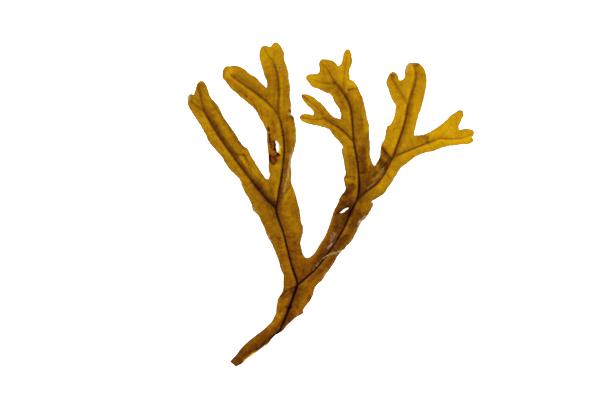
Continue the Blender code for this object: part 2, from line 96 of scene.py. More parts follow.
# The midribs. For each: the points it runs through, and then, at its start and its end, how dark its line is,
# half the line's width, how dark the soft band of painted shade beside it is, and how dark the blade is. Each
# darkness is an optical depth: 1 leaves 37% of the red light. Last, the side that the painted shade lies on:
# 1 is left, -1 right and 0 both
MIDRIBS = [
    ([(-42.3, -69), (-36, -64), (-28, -58.5)], (0.1, 0.3), (0.5, 0.5), (0.1, 0.3), (1.75, 1.55), 0),
    ([(-28, -58.5), (-24.9, -56.5), (-21.9, -54.2)], (0.3, 2.2), (0.4, 0.45), (0.3, 0.3), (1.5, 1.45), 0),
    ([(-21.9, -54.2), (-19, -47.5), FIRST_FORK], (2.2, 3.8), (0.42, 0.54), (0.3, 0.35), (1.45, 1.42), 0),
    ([FIRST_FORK, (-14.6, -33.5), (-16.8, -26.7), (-20.6, -11.8), (-22.8, -5.8), LEFT_FORK],
     (3.4, 2.3), (0.32, 0.36), (0.35, 0.5), (1.38, 1.25), -1),
    ([LEFT_FORK, (-25, -0.2), (-26.6, 1), (-47, 27.5), OUTER_FORK], (0.9, 0.7), (0.38, 0.32), (1.22, 0.88),
     (1.25, 0.88), -1),
    ([OUTER_FORK, (-59, 43.2), (-60.3, 44.2)], (0.8, 0.5), (0.4, 0.35), (0.25, 0.0), (0.95, 0.95), 0),
    ([OUTER_FORK, (-55, 42.5), (-56.9, 51)], (0.8, 0.4), (0.42, 0.4), (0.3, 0.1), (0.9, 0.85), 0),
    ([LEFT_FORK, (-22.6, 3.5), (-20.1, 24), (-21.5, 35), MIDDLE_FORK], (2.1, 1.3), (0.38, 0.4), (0.8, 0.35),
     (1.05, 0.98), -1),
    ([MIDDLE_FORK, (-23.4, 39.5), (-27.5, 44), (-42.7, 55.3)], (0.85, 0.7), (0.38, 0.4), (0.45, 0.2),
     (1.0, 0.78), -1),
    ([MIDDLE_FORK, (-22.6, 40), (-22.4, 48), (-23.2, 56.5), UPRIGHT_FORK], (0.75, 0.45), (0.5, 0.45),
     (0.35, 0.2), (1.0, 0.82), 1),
    ([UPRIGHT_FORK, (-26.3, 63.2), (-28.6, 66.8)], (0.6, 0.25), (0.4, 0.35), (0.05, 0.0), (0.68, 0.68), 0),
    ([UPRIGHT_FORK, (-24.6, 62.5), (-23.7, 68)], (0.3, 0.1), (0.5, 0.5), (0.1, 0.0), (0.7, 0.66), 0),
    ([FIRST_FORK, (-6, -27.2), (5, -11.3), (9.3, -1.6), RIGHT_FORK], (3.7, 1.7), (0.3, 0.34), (0.3, 0.6),
     (1.38, 1.4), 1),
    ([RIGHT_FORK, (12.1, 6), (11.8, 15.5), INNER_FORK], (2.5, 1.8), (0.42, 0.4), (0.45, 0.3),
     (1.25, 1.0), -1),
    ([INNER_FORK, (5, 31.8), LOW_FORK], (1.0, 0.8), (0.36, 0.34), (0.4, 0.25), (1.05, 0.9), -1),
    ([LOW_FORK, (-7.5, 36.5), (-12.5, 37.3)], (0.8, 0.4), (0.3, 0.28), (0.05, 0.05), (0.74, 0.52), 0),
    ([LOW_FORK, (-5.2, 41), (-11.5, 46.3)], (0.5, 0.3), (0.35, 0.3), (0.15, 0.1), (0.74, 0.52), 0),
    ([INNER_FORK, (8.4, 42), TWIN_FORK], (1.45, 1.1), (0.42, 0.48), (0.4, 0.65), (0.95, 1.05), -1),
    ([TWIN_FORK, (5.8, 48), (5.6, 54), (7.1, 64)], (0.4, 0.2), (0.36, 0.4), (0.2, 0.1), (0.74, 0.42), 0),
    ([TWIN_FORK, (3.2, 50.7), SMALL_FORK], (0.85, 0.5), (0.5, 0.45), (0.4, 0.2), (0.95, 0.82), -1),
    ([SMALL_FORK, (-4, 52.5), (-8, 54)], (0.5, 0.2), (0.45, 0.45), (0.15, 0.05), (0.95, 0.58), 0),
    ([SMALL_FORK, (-2, 58.9), (-4.3, 61.3)], (0.8, 0.2), (0.35, 0.3), (0.1, 0.0), (0.95, 0.65), 0),
    ([RIGHT_FORK, (14.2, 4.6), (20.5, 9.7), FAR_FORK], (0.9, 1.25), (0.3, 0.38), (0.75, 0.65), (1.2, 0.9), 1),
    ([FAR_FORK, (31.8, 35), CURLED_FORK], (1.45, 0.85), (0.42, 0.42), (0.6, 0.5), (0.75, 0.6), -1),
    ([CURLED_FORK, (26.8, 53.3), (26.2, 55)], (0.4, 0.3), (0.5, 0.6), (0.15, 0.2), (0.54, 0.66), 0),
    ([CURLED_FORK, (36.6, 55), (36, 59.5)], (0.55, 0.4), (0.5, 0.6), (0.3, 0.3), (0.62, 0.7), -1),
    ([FAR_FORK, (40.5, 26), LAST_FORK], (0.95, 0.65), (0.4, 0.35), (0.3, 0.2), (0.8, 0.6), 1),
    ([LAST_FORK, (50, 32), (55.5, 39.5)], (0.12, 0.05), (0.4, 0.4), (0.0, 0.0), (0.55, 0.5), 0),
    ([LAST_FORK, (55, 28.3), (60.5, 29.7)], (0.7, 0.3), (0.35, 0.3), (0.1, 0.0), (0.5, 0.5), 1),
]

# Darker and lighter patches and marks in the blade: from where to where, half the width, and the optical
# depth that each adds, which is below nothing for a lighter one. Some are painted shade: beside the midribs,
# in creases and along the fold
SHADES = [
    # outer left branch: the band of painted shade beside its midrib, painted shade in the crease across its
    # right wing, the dark right margin and the tips
    ((-46.4, 28.0), (-36.8, 15.5), 0.8, 0.35),
    ((-50.6, 35.2), (-46.4, 28.0), 0.7, 0.3),
    ((-50.6, 43.4), (-43.0, 31.6), 0.5, 0.4),
    ((-42.0, 29.0), (-38.0, 24.0), 0.4, 0.4),
    ((-49.0, 36.0), (-43.5, 28.5), 1.0, -0.12),
    ((-41.2, 21.5), (-37.4, 21.2), 0.3, 0.9),
    ((-37.4, 21.2), (-34.4, 14.4), 0.4, 0.8),
    ((-38.8, 19.6), (-32.4, 11.2), 1.3, -0.55),
    ((-56.4, 50.5), (-55.8, 47.0), 1.4, 0.3),
    ((-54.5, 36.0), (-47.0, 23.0), 1.6, -0.15),
    ((-34.5, 13.0), (-30.5, 8.0), 1.6, 0.25),
    ((-33.5, 9.5), (-26.0, -1.0), 1.6, 0.45),
    ((-42.0, 15.0), (-36.5, 7.0), 1.4, -0.15),
    # middle branch: its left lobe
    ((-46.6, 57.8), (-46.4, 54.8), 0.6, 0.35),
    ((-43.8, 56.4), (-43.0, 57.0), 1.4, -0.28),
    ((-44.5, 53.0), (-37.0, 47.5), 1.3, 0.3),
    ((-38.5, 55.0), (-29.5, 47.0), 1.4, 0.2),
    ((-37.5, 46.3), (-31.8, 40.5), 1.1, -0.1),
    ((-36.3, 46.2), (-35.6, 45.9), 0.25, 0.9),
    ((-34.9, 45.7), (-34.3, 45.0), 0.2, 0.9),
    ((-33.2, 43.0), (-32.2, 41.0), 0.22, 0.7),
    ((-30.5, 40.2), (-29.6, 38.0), 0.25, 0.7),
    ((-28.2, 37.0), (-26.2, 31.8), 1.3, -0.12),
    ((-24.4, 28.4), (-23.2, 30.6), 0.5, -0.25),
    # its upright lobe
    ((-28.6, 59.2), (-20.8, 58.9), 0.4, 0.25),
    ((-27.6, 58.0), (-27.0, 52.5), 1.3, 0.2),
    ((-24.0, 59.0), (-23.0, 50.0), 1.6, 0.15),
    ((-21.0, 57.0), (-19.0, 45.0), 1.3, 0.1),
    ((-17.9, 40.2), (-17.2, 39.7), 0.4, 1.4),
    ((-17.3, 37.6), (-16.3, 36.6), 0.6, 0.9),
    ((-18.4, 38.5), (-19.2, 36.0), 0.8, 0.3),
    # the rotten place round its tear, and its right wing
    ((-26.9, 32.7), (-26.7, 31.7), 0.45, 2.8),
    ((-26.6, 30.0), (-25.8, 24.4), 0.35, 2.0),
    ((-24.8, 26.9), (-24.2, 23.8), 0.32, 2.6),
    ((-24.2, 23.8), (-22.7, 21.3), 0.4, 2.8),
    ((-22.6, 21.2), (-24.4, 20.2), 0.5, 1.6),
    ((-26.4, 20.8), (-26.2, 18.6), 0.4, 1.8),
    ((-26.2, 18.4), (-24.4, 17.0), 0.4, 1.4),
    ((-24.0, 18.0), (-23.4, 19.4), 0.4, 1.2),
    ((-26.0, 20.0), (-24.0, 18.6), 1.0, 0.32),
    ((-21.9, 24.5), (-22.1, 21.8), 0.45, -0.9),
    ((-25.5, 35.0), (-24.0, 30.5), 0.8, 0.25),
    ((-19.0, 33.0), (-18.0, 23.0), 1.0, 0.35),
    ((-16.6, 32.0), (-16.5, 24.0), 0.7, 0.15),
    ((-18.6, 20.0), (-19.8, 12.0), 0.8, 0.3),
    ((-16.0, 14.5), (-16.8, 7.5), 0.7, -0.2),
    ((-23.6, 16.0), (-27.0, 6.5), 1.5, -0.2),
    ((-26.0, 9.0), (-24.5, 0.5), 1.2, 0.45),
    ((-20.9, 6.5), (-22.0, 0.0), 0.6, 0.3),
    ((-20.6, 0.5), (-18.0, 6.0), 0.6, -0.2),
    ((-17.4, 7.8), (-21.4, 2.4), 0.25, 0.5),
    ((-16.6, 4.4), (-19.8, 0.4), 0.22, 0.35),
    # left arm
    ((-25.2, 0.5), (-23.9, -6.0), 1.1, 0.4),
    ((-18.5, -3.5), (-14.5, -12.5), 1.3, -0.15),
    ((-19.0, -10.5), (-15.0, -13.5), 0.7, 0.25),
    ((-20.0, -6.0), (-17.5, -5.5), 0.4, 0.25),
    ((-24.0, -13.0), (-20.5, -16.5), 0.5, 0.2),
    ((-22.5, -24.0), (-20.0, -31.0), 0.9, -0.15),
    ((-17.0, -27.0), (-12.0, -29.5), 1.2, 0.2),
    ((-16.2, -5.0), (-15.8, -14.0), 1.6, 0.15),
    ((-22.4, -16.0), (-21.4, -24.0), 1.2, 0.2),
    # below the first fork, with painted shade in the crease there and along the fold
    ((-15.2, -35.6), (-19.4, -37.6), 0.3, 0.9),
    ((-19.4, -37.6), (-21.9, -40.0), 0.35, 0.6),
    ((-16.8, -38.0), (-20.4, -40.0), 0.9, 0.45),
    ((-14.0, -36.5), (-10.5, -36.5), 1.0, 0.3),
    ((-19.8, -44.2), (-17.0, -44.5), 0.6, 0.7),
    ((-22.4, -50.6), (-18.8, -41.4), 0.9, -0.45),
    ((-22.6, -41.5), (-23.4, -47.5), 1.0, -0.3),
    ((-22.4, -48.0), (-26.8, -53.5), 1.3, -0.4),
    ((-9.0, -37.0), (-13.0, -45.5), 0.8, -0.25),
    ((-16.2, -46.4), (-19.6, -52.0), 1.1, 0.25),
    ((-13.0, -47.6), (-20.8, -54.2), 0.4, 0.7),
    # stem: painted shade along the edge of the fold, and the lighter strip of the folded wing
    ((-28.0, -53.0), (-35.0, -59.5), 1.6, -0.05),
    ((-21.4, -54.6), (-24.9, -57.1), 0.3, 1.5),
    ((-24.9, -57.1), (-29.0, -60.3), 0.3, 1.1),
    ((-29.0, -60.3), (-32.1, -62.5), 0.3, 0.9),
    ((-32.1, -62.2), (-35.3, -63.8), 0.5, 0.6),
    ((-37.8, -67.6), (-33.6, -64.4), 0.42, -1.2),
    ((-33.8, -64.4), (-30.8, -63.0), 0.34, -0.85),
    ((-28.8, -61.0), (-27.4, -59.8), 0.3, -0.9),
    ((-41.9, -65.8), (-39.0, -68.5), 0.3, 0.5),
    ((-40.8, -64.9), (-37.9, -67.6), 0.25, 0.4),
    # right arm
    ((-8.0, -26.0), (-3.0, -19.0), 1.6, 0.2),
    ((-4.5, -22.0), (3.0, -9.5), 1.4, 0.15),
    ((3.0, -9.5), (8.5, -1.0), 1.8, 0.5),
    ((0.6, -17.5), (2.2, -15.5), 0.6, 0.5),
    ((-0.4, -8.6), (1.4, -2.5), 0.8, -0.4),
    ((-3.4, -15.0), (-0.6, -8.0), 0.8, -0.3),
    ((3.4, -4.1), (7.4, -1.4), 0.45, 0.9),
    ((4.2, -1.0), (7.6, 3.8), 1.7, 0.4),
    ((6.4, 5.0), (9.2, 7.6), 1.6, 1.0),
    ((1.6, -4.6), (7.6, -0.4), 0.35, 0.9),
    ((8.6, -4.6), (9.8, -1.6), 0.9, 0.8),
    ((-9.6, -33.6), (-4.6, -28.6), 1.0, 0.35),
    ((-5.0, -29.5), (1.0, -22.5), 1.1, 0.38),
    ((-5.0, -34.0), (-1.5, -29.5), 0.8, -0.25),
    ((1.5, -20.0), (6.5, -14.0), 1.3, 0.65),
    ((7.5, -13.0), (13.0, -6.0), 1.4, 0.45),
    ((10.0, -6.5), (12.0, -2.5), 1.2, 0.45),
    # where the right branch forks, and its inner branch
    ((13.5, 3.0), (15.5, 14.0), 2.2, 0.55),
    ((16.5, 9.0), (18.0, 15.0), 1.8, 0.45),
    ((15.8, 29.2), (14.6, 21.0), 1.5, 0.3),
    ((13.4, 24.0), (14.2, 15.0), 1.5, 0.7),
    ((13.3, 13.4), (13.9, 13.2), 0.6, 0.9),
    ((9.9, 20.0), (10.3, 11.0), 0.8, 0.35),
    ((6.2, 24.0), (7.2, 14.0), 0.8, -0.15),
    ((5.8, 11.6), (9.6, 11.7), 0.35, 0.7),
    ((6.6, 10.6), (8.8, 9.6), 0.6, -0.35),
    ((14.6, 41.0), (15.6, 32.6), 1.3, -0.28),
    ((12.0, 36.5), (13.5, 27.0), 1.2, 0.2),
    ((14.9, 31.0), (15.8, 26.0), 0.7, -0.1),
    # low lobe
    ((-4.5, 39.5), (1.5, 35.5), 1.0, 0.12),
    ((2.0, 30.0), (6.0, 25.5), 1.0, -0.15),
    ((-12.2, 46.8), (-10.0, 45.0), 0.6, 0.45),
    ((-12.8, 38.0), (-11.6, 37.2), 0.5, 0.3),
    # twin lobes, with painted shade in a small crease
    ((1.8, 52.0), (6.0, 46.0), 1.4, 0.35),
    ((7.6, 49.2), (9.2, 49.6), 0.4, 1.0),
    ((9.4, 49.6), (11.0, 49.6), 0.4, 0.5),
    ((7.6, 52.2), (10.4, 51.2), 1.0, -0.3),
    ((-5.0, 49.5), (1.0, 50.2), 0.8, 0.25),
    ((2.4, 48.0), (5.2, 42.0), 0.9, 0.25),
    ((-8.5, 54.5), (-5.0, 54.2), 1.2, -0.15),
    ((-3.5, 61.0), (-1.0, 58.0), 0.8, -0.1),
    ((8.6, 64.0), (8.6, 59.5), 0.5, 0.15),
    # right branch: painted shade left of its midrib, and the gold right wing
    ((22.6, 24.0), (24.6, 20.0), 1.0, 0.9),
    ((21.9, 24.4), (26.2, 19.6), 0.45, 0.8),
    ((22.4, 21.5), (21.6, 17.0), 1.5, 0.5),
    ((20.0, 19.4), (23.5, 16.0), 1.4, 0.8),
    ((24.5, 18.8), (22.0, 13.0), 0.8, 0.5),
    ((19.0, 15.8), (19.4, 14.0), 0.9, 0.5),
    ((18.4, 12.2), (21.2, 15.4), 0.9, 0.5),
    ((21.4, 11.6), (22.9, 14.0), 0.5, -0.5),
    ((21.5, 8.0), (28.0, 14.5), 1.5, -0.25),
    ((18.0, 4.0), (21.0, 7.0), 1.2, -0.2),
    # curled lobes
    ((26.0, 33.0), (27.8, 40.5), 1.3, -0.12),
    ((29.5, 33.0), (30.5, 39.0), 0.8, 0.1),
    ((33.5, 38.0), (35.5, 52.0), 1.1, 0.25),
    ((35.4, 60.4), (37.2, 59.8), 0.8, 0.5),
    ((26.2, 55.6), (27.0, 55.2), 0.6, 0.6),
    ((26.0, 52.0), (28.5, 46.5), 1.0, -0.1),
    # last branch: the dark place before its boundary, and the bright lobes
    ((37.6, 29.6), (41.4, 28.8), 0.8, 0.45),
    ((37.8, 27.2), (40.8, 27.6), 0.9, 0.2),
    ((42.0, 29.4), (41.3, 26.4), 0.25, 0.5),
    ((44.5, 30.0), (52.0, 32.5), 2.0, -0.08),
    ((53.9, 38.0), (54.0, 33.0), 0.3, 0.12),
    ((57.0, 40.0), (55.5, 40.4), 0.5, 0.25),
    ((60.5, 27.8), (61.4, 28.6), 0.5, 0.3),
    # fine brown lines and flecks
    ((-19.6, -13.6), (-16.2, -14.2), 0.2, 0.5),
    ((-16.2, -14.2), (-14.0, -12.6), 0.2, 0.4),
    ((-22.6, -15.0), (-21.2, -14.4), 0.25, 0.6),
    ((-18.9, -13.9), (-18.2, -14.2), 0.3, 0.9),
    ((-17.6, -19.8), (-14.4, -21.0), 0.3, 0.35),
    ((-21.6, -19.0), (-19.2, -17.6), 0.2, 0.4),
    ((-23.4, -21.0), (-21.0, -20.2), 0.25, 0.3),
    ((-13.6, -27.4), (-11.4, -26.0), 0.4, 0.4),
    ((-9.6, -28.6), (-6.6, -27.6), 0.25, 0.5),
    ((-7.8, -26.6), (-6.4, -24.4), 0.3, 0.4),
    ((-14.4, -39.6), (-12.0, -38.4), 0.3, 0.45),
    ((-9.6, -40.6), (-9.0, -39.0), 0.3, 0.6),
    ((-15.0, -44.0), (-12.6, -44.6), 0.3, 0.5),
    ((0.2, -13.4), (1.6, -12.0), 0.3, 0.6),
    ((-1.4, -17.0), (-0.4, -15.0), 0.3, 0.6),
    ((2.0, -7.6), (3.4, -5.2), 0.4, 0.3),
    ((6.8, -10.6), (9.4, -8.0), 0.3, 0.35),
    ((11.6, -4.4), (14.0, -3.8), 0.3, 0.4),
    ((17.4, 4.2), (19.0, 6.4), 0.25, 0.4),
    ((24.4, 12.4), (25.6, 11.2), 0.3, 0.6),
    ((26.6, 15.2), (28.4, 14.4), 0.3, 0.45),
    ((29.6, 17.6), (31.2, 17.8), 0.3, 0.4),
    ((8.4, 17.4), (8.0, 14.2), 0.2, 0.5),
    ((7.2, 20.6), (8.8, 21.0), 0.25, 0.4),
    ((12.4, 36.6), (13.8, 36.0), 0.4, 0.5),
    ((13.0, 38.4), (13.4, 33.0), 0.3, 0.25),
    ((10.6, 45.6), (11.6, 41.0), 0.3, 0.25),
    ((26.4, 31.6), (27.6, 33.0), 0.3, 0.35),
    ((28.2, 40.6), (29.4, 42.4), 0.3, 0.35),
    ((-52.6, 33.0), (-46.0, 22.6), 0.2, 0.3),
    ((-44.6, 21.0), (-38.6, 11.6), 0.2, 0.3),
    ((-37.4, 9.6), (-32.0, 0.6), 0.2, 0.35),
    ((-25.6, 37.2), (-24.2, 33.2), 0.25, 0.4),
    ((-24.6, 47.6), (-24.6, 43.4), 0.4, 0.25),
    ((-25.6, 16.6), (-23.4, 14.0), 0.3, 0.3),
    ((-26.4, 12.6), (-23.0, 5.6), 0.2, 0.35),
    ((-30.8, 46.4), (-29.2, 43.6), 0.5, 0.15),
    ((-41.6, 51.0), (-36.4, 46.6), 0.25, 0.3),
]

# Dead, red-brown places: from where to where, half the width and how strong
RUSTS = [
    ((-26.0, 30.0), (-25.4, 21.5), 1.3, 0.78),
    ((-25.6, 20.6), (-24.2, 18.6), 1.4, 0.7),
    ((-26.6, 33.4), (-23.4, 31.0), 0.8, 0.4),
    ((-36.8, 46.6), (-34.0, 44.4), 0.9, 0.6),
    ((-33.6, 43.4), (-31.6, 40.2), 0.7, 0.6),
    ((-17.0, 37.4), (-16.2, 34.6), 0.8, 0.5),
    ((0.4, -4.4), (7.8, 3.2), 2.0, 0.65),
    ((-3.4, -20.0), (1.4, -12.0), 1.7, 0.5),
    ((-12.6, -30.6), (-5.0, -23.6), 2.0, 0.35),
    ((-17.8, -14.0), (-14.6, -24.6), 1.6, 0.3),
    ((8.6, -10.6), (11.4, -3.4), 1.2, 0.3),
    ((-19.8, -44.4), (-17.4, -44.2), 0.8, 0.4),
    ((-12.6, -45.6), (-18.6, -48.6), 1.6, 0.2),
    ((-27.0, -56.0), (-33.0, -60.6), 1.8, 0.35),
    ((14.0, 13.6), (15.2, 12.6), 0.9, 0.5),
    ((13.6, 24.0), (15.0, 15.0), 1.8, 0.25),
    ((-56.4, 52.0), (-54.6, 50.6), 0.7, 0.4),
    ((12.6, 6.0), (16.6, 10.6), 1.6, 0.25),
]

# Creases and scuffs that look whitish: from where to where, half the width, how high each stands and how pale
# it is. The whiteness is partly painted highlight along creases and turned margins, and partly real scuffs
CREASES = [
    # the turned-up right margin of the middle branch, with a painted highlight along it
    ((-15.4, 32.0), (-15.7, 26.0), 0.2, 0.1, 0.35),
    ((-15.7, 26.0), (-17.3, 20.4), 0.2, 0.15, 0.5),
    ((-17.3, 20.4), (-18.9, 10.8), 0.26, 0.2, 0.75),
    ((-18.9, 10.8), (-20.6, 5.0), 0.3, 0.2, 0.6),
    # the crease across the right arm with a painted highlight along it, and the scuffs beside its midrib
    ((5.0, -20.2), (0.8, -21.2), 0.32, 0.25, 0.75),
    ((0.8, -21.2), (-1.8, -22.2), 0.26, 0.2, 0.6),
    ((-1.8, -22.2), (-4.4, -24.2), 0.24, 0.15, 0.45),
    ((-4.4, -24.2), (-6.0, -26.4), 0.2, 0.1, 0.4),
    ((-6.0, -26.4), (-8.0, -28.6), 0.18, 0.1, 0.35),
    ((0.2, -15.4), (1.8, -12.6), 0.8, 0.08, 0.3),
    ((-1.9, -19.2), (0.3, -17.0), 0.7, 0.08, 0.32),
    ((-1.0, -18.3), (0.4, -17.3), 0.22, 0.1, 0.42),
    ((0.3, -13.9), (1.2, -12.2), 0.22, 0.1, 0.4),
    ((1.2, -16.6), (2.2, -15.6), 0.22, 0.1, 0.3),
    # its pale right margin: a painted highlight along its edge
    ((14.8, -5.4), (12.4, -7.6), 0.7, 0.2, 0.5),
    ((12.4, -7.6), (11.5, -10.6), 0.45, 0.2, 0.5),
    ((11.5, -10.6), (9.4, -15.3), 0.35, 0.2, 0.35),
    ((9.4, -15.3), (6.9, -18.9), 0.35, 0.2, 0.5),
    ((6.9, -18.9), (4.6, -20.4), 0.4, 0.2, 0.7),
    ((17.6, -2.0), (18.4, -0.2), 0.6, 0.12, 0.45),
    ((-0.6, -27.4), (-3.0, -30.6), 0.35, 0.12, 0.35),
    # beside the right branch's midrib
    ((18.4, 10.6), (21.0, 12.6), 0.3, 0.1, 0.4),
    ((21.4, 13.4), (22.8, 15.6), 0.35, 0.1, 0.4),
    ((15.6, 6.8), (18.4, 9.0), 0.22, 0.1, 0.32),
    # painted highlights: thin lines by the left margins
    ((-34.6, 0.0), (-31.0, -5.0), 0.22, 0.12, 0.55),
    ((-29.5, -8.6), (-25.6, -16.0), 0.22, 0.12, 0.55),
    # tips
    ((-18.4, 38.9), (-17.2, 38.3), 0.35, 0.1, 0.75),
    ((-61.6, 44.8), (-60.6, 47.0), 0.7, 0.1, 0.5),
    ((31.6, 56.0), (33.2, 60.0), 0.8, 0.15, 0.5),
    ((33.6, 60.8), (36.4, 60.6), 0.5, 0.1, 0.45),
    ((25.2, 56.4), (27.4, 56.6), 0.45, 0.1, 0.5),
    ((41.4, 53.0), (41.0, 48.0), 0.25, 0.1, 0.3),
    ((-19.0, 57.6), (-17.9, 52.0), 0.25, 0.1, 0.35),
    ((-22.6, 59.4), (-21.0, 57.6), 0.5, 0.1, 0.3),
]

# Small sharpenings of the outline, such as pointed crotches and a notch: the place, how far it moves and how
# far round it that reaches
NUDGES = [
    ((18.7, 17.4), (0.0, -1.0), 0.8),
    ((-28.2, 50.9), (0.6, -0.5), 0.8),
    ((-27.6, 10.9), (0.1, -0.15), 0.7),
    ((-24.5, 25.6), (0.4, 0.0), 1.5),
    ((61.4, 28.7), (-1.0, 0.0), 0.45),
    ((-9.9, 54.5), (-0.6, -0.2), 1.3),
    ((-12.7, 37.3), (-0.5, 0.1), 1.2),
    ((-12.0, 46.6), (-0.5, 0.3), 1.2),
    ((-62.0, 44.5), (0.5, 0.4), 1.5),
    ((-21.4, 64.7), (0.8, 0.0), 1.6),
    ((-16.9, -50.7), (0.3, -0.2), 2.0),
    ((-8.2, 51.6), (-0.25, -0.5), 2.2),
    ((-10.0, 42.8), (-0.35, -0.35), 2.5),
    ((45.5, 23.6), (0.1, -0.4), 3.0),
    ((24.4, 51.2), (-0.5, 0.0), 2.2),
    ((-36.1, 23.2), (0.45, 0.3), 1.8),
    ((-28.2, -12.0), (-0.25, -0.05), 3.0),
    ((26.7, 10.4), (0.35, -0.35), 2.0),
    ((-2.0, 48.3), (-0.1, -0.4), 1.8),
    ((-17.5, 42.8), (0.35, 0.0), 2.0),
    ((-13.7, -2.6), (0.3, 0.0), 2.0),
    ((-12.3, -10.4), (0.25, 0.0), 1.8),
    ((-30.3, 36.7), (-0.35, -0.1), 1.8),
    ((-15.3, 27.4), (0.25, 0.0), 2.0),
    ((6.0, 16.2), (-0.3, 0.0), 1.8),
    ((34.4, 60.9), (0.0, -0.3), 2.2),
    ((-39.1, 9.7), (0.35, 0.2), 1.8),
    ((29.7, 53.6), (-0.3, 0.0), 1.2),
    ((-38.4, -68.5), (0.15, -0.3), 1.5),
    ((5.5, 25.2), (0.4, 0.0), 0.5),
    ((4.9, 23.6), (-0.3, 0.0), 0.5),
]

# The blade lies flat on the surface in these places, as far round them as the first distance, and from the
# second on it is free of the surface
REST_SPOTS = [(-13.0, -29.5), (-45.0, 26.0), (29.0, 25.0)]
REST_FLAT = 2.2
REST_FREE = 8.0

# How much thinner each face gets at the margin, and how far in
MARGIN_THINNING = 0.14
MARGIN_THINNING_WIDTH = 1.6
# The frill along the margins: how high, how long each wave is, how far in it reaches, and its layer of noise
FRILL_HEIGHT = 0.9
FRILL_LENGTH = 4.2
FRILL_REACH = 3.2
FRILL_LAYER = 1.3
# How far the margins are worn in and out, over what length and how far in, and a layer of noise for each of
# the two directions
NIBBLE = 0.2
NIBBLE_LENGTH = 1.1
NIBBLE_REACH = 0.9
NIBBLE_LAYERS = (7.7, 9.2)
# Towards the fold the frill ends, between these distances before it
FRILL_ENDS = (-8, -2)
# The midrib's rounded crest, and how high the one underneath is as a share of the one on top
CREST_HEIGHT = 0.22
CREST_HALF_WIDTH = 0.55
UNDER_CREST = 0.5
# A place belongs fully to the upper or the lower face once its normal is this upright
FACE_UPRIGHT = 0.6
# Half the width of the soft band of painted shade beside a midrib, and how much faster it ends on the
# midrib's bare side
PAINTED_SHADE_HALF_WIDTH = 2.0
PAINTED_SHADE_CRISPNESS = 3.5
# The painted highlight on the bare side: how much lighter, how far from the midrib and half its width
PAINTED_HIGHLIGHT_DEPTH = 0.14
PAINTED_HIGHLIGHT_PLACE = 1.2
PAINTED_HIGHLIGHT_HALF_WIDTH = 0.6
# The fine wrinkles of the blade: how high, how far apart, and their layer of noise
WRINKLE_HEIGHT = 0.16
WRINKLE_LENGTH = 2.6
WRINKLE_LAYER = 2.7
# How much the edges of the marks wander, over what length, and the layer of noise for it
RAGGEDNESS = 0.45
RAGGED_LENGTH = 1.1
RAGGED_LAYER = 5.1
# The darker and lighter marks fade on steep places: none is left where the normal is only as upright as the
# first of these, and none is weakened from the second on
MARKS_FADE = (0.05, 0.35)
# The colour of light through the blade: its strength at no depth, the shares of it that are green and blue,
# and how much faster than red the green goes as the blade gets deeper
BRIGHTNESS = 0.585
GREEN_SHARE = 0.61
BLUE = 0.001
GREEN_LOSS = 1.29
# Towards the stem the blade is older and redder. That begins at the first of these places on the long axis of
# the sprig, in metres, and is complete at the second
OLD_FROM = 0.0
OLD_DOWN_TO = -0.03
OLD_REDNESS = 0.19
# How much redder and how much deeper a dead place is, the size of its spots, and the levels of noise between
# which a spot comes up
RUST_REDNESS = 0.45
RUST_DEPTH = 0.3
RUST_SIZE = 1.4 * MM
RUST_LEVELS = (0.25, 0.6)
# How much the blade goes from greener to redder and back, and over what size
TINT_VARIETY = 1.4
TINT_SIZE = 1.5 * MM
# The pale marks, painted highlights on creases and margins and real scuffs: their colour, the size of their
# flecks, and the levels of noise between which a fleck comes up
HIGHLIGHT_AND_SCUFF_COLOUR = (0.32, 0.26, 0.13, 1)
PALE_SIZE = 0.7 * MM
PALE_LEVELS = (0.48, 0.66)

# The patterns in the blade. Mottling, grit and patches have their sizes in metres. Wrinkles and streaks
# follow the midribs, in drawn millimetres, and are drawn out across them or along them by these factors
MOTTLE_SIZE = 6 * MM
GRIT_SIZE = 0.8 * MM
PATCH_SIZE = 2.6 * MM
PATCH_LEVELS = (0.45, 0.7)
WRINKLE_SPACING = 1.5
WRINKLE_STRETCH = (0.25, 1.0, 1.0)
STREAK_SPACING = 0.9
STREAK_STRETCH = (1.0, 0.12, 1.0)
# The fine net of crooked lines: how wide its meshes are, how wide a line is as a share of that, how dark it
# is, and the levels of mottling between which it comes up
NET_SIZE = 3.2 * MM
NET_LINE = 0.035
NET_DEPTH = 0.22
NET_LEVELS = (-0.05, 0.15)
# The dark edge of the margin, in millimetres, and the specks near it: how dark and how far in
EDGE_DEPTH = 0.22
EDGE_WIDTH = 0.38
SPECK_SIZE = 0.8 * MM
SPECK_LEVELS = (0.66, 0.8)
SPECK_DEPTH = 0.25
SPECK_REACH = 3.0
# A midrib's line ends between these distances from the midrib
LINE_ENDS = (0.7, 1.2)
# How glossy the blade is, how rough its skin is, and how strong and how high its fine relief
GLOSS = 0.012
ROUGHNESS = 0.42
RELIEF_STRENGTH = 0.4
RELIEF_HEIGHT = 0.2 * MM

# The floor: half its side in metres, its grey, how rough and how glossy it is, and how much it glows
FLOOR_SIZE = 5
FLOOR_GREY = 0.92
FLOOR_ROUGHNESS = 0.9
FLOOR_GLOSS = 0.1
FLOOR_GLOW = 0.8
# The lamps: how many, how wide, how strong, and how far above the floor and to the side of the sprig
LAMPS = 4
LAMP_WIDTH = 2.0
LAMP_POWER = 24.0
LAMP_DISTANCE = 1.4
# The even light from all sides
ROOM_LIGHT = 0.45

# How sharply a mark ends: 2 is soft, and higher is more abrupt
MARK_SHARPNESS = 3.5
# How many points are worked out between two of a midrib's own, how far apart those that are used lie, and how
# widely the blade darkness of the midribs blends
CURVE_POINTS = 24
MIDRIB_STEP = 0.8
BLADE_BLEND = 1.5


